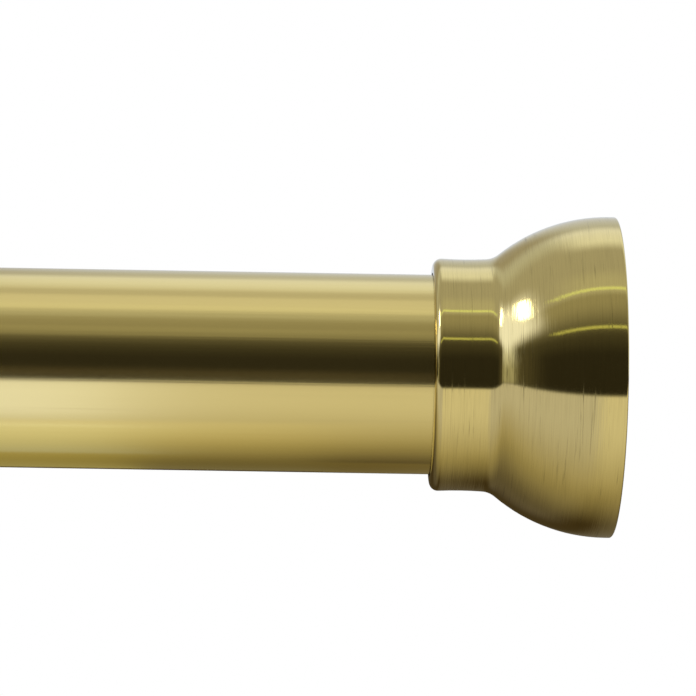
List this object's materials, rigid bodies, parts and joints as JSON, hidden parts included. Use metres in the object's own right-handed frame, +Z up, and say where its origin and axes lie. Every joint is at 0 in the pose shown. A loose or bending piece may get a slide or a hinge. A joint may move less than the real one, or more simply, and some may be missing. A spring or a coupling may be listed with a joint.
{
  "type": "tension shower curtain rod",
  "caption": "Adjustable tension curtain rod: telescoping metal tubes with a twist lock and a spring inside, rubber feet and flared end covers.",
  "frame": {"origin": "centre of the right-hand rubber foot's wall face", "axes": "+X along the rod, out of the right-hand foot into the wall it stands on; the rod runs from the origin along -X; +Z up"},
  "size_m": [1.0668, 0.0408, 0.0408],
  "materials": {
    "tube_finish": "satin",
    "inner_tube_finish": "satin",
    "cover_finish": "satin",
    "liner_plastic": "satin",
    "foot_rubber": "matte",
    "plug_plastic": "matte",
    "bush_plastic": "satin",
    "cam_plastic": "satin",
    "cast_metal": "matte",
    "bright_steel": "satin",
    "spring_steel": "satin"
  },
  "bodies": {
    "outer_rod": {"outer_tube": "tube_finish", "right_end_plug": "plug_plastic", "right_foot": "foot_rubber", "mouth_bush": "bush_plastic"},
    "right_end_cover": {"right_cover": "cover_finish", "right_cover_liner": "liner_plastic"},
    "left_end_foot": {"left_foot": "foot_rubber"},
    "inner_rod": {"inner_tube": "inner_tube_finish", "left_end_plug": "plug_plastic", "guide_plug": "plug_plastic", "spring_stop": "plug_plastic", "spring": "spring_steel"},
    "left_end_cover": {"left_cover": "cover_finish", "left_cover_liner": "liner_plastic"},
    "lock_slider": {"lock_shaft": "bright_steel", "cam_journal": "cast_metal", "journal_pin": "bright_steel", "cam_washer": "bright_steel", "cam_screw": "bright_steel", "spring_seat": "cam_plastic", "seat_clip": "spring_steel"},
    "lock_ring": {"lock_cam": "cam_plastic"}
  },
  "joints": [
    {"name": "right_cover_slide", "type": "slide", "parent": "outer_rod", "child": "right_end_cover", "axis": [-1, 0, 0], "range_m": [0, 1]},
    {"name": "telescope", "type": "slide", "parent": "outer_rod", "child": "left_end_foot", "axis": [-1, 0, 0], "range_m": [0, 0.762]},
    {"name": "twist", "type": "hinge", "parent": "left_end_foot", "child": "inner_rod", "pos_m": [-1.0606, 0, 0], "axis": [1, 0, 0], "range_deg": [-24, 24]},
    {"name": "left_cover_slide", "type": "slide", "parent": "inner_rod", "child": "left_end_cover", "axis": [1, 0, 0], "range_m": [0, 0.014]},
    {"name": "spring_travel", "type": "slide", "parent": "inner_rod", "child": "lock_slider", "axis": [-1, 0, 0], "range_m": [0, 0.025], "stiffness_N_per_m": 5000, "deforming": ["spring"]},
    {"name": "cam_turn", "type": "hinge", "parent": "lock_slider", "child": "lock_ring", "pos_m": [-0.041, 0, -0.0015], "axis": [1, 0, 0], "range_deg": [-24, 24]}
  ],
  "couplings": [
    {"joint": "cam_turn", "follows": "twist", "ratio": -1}
  ]
}
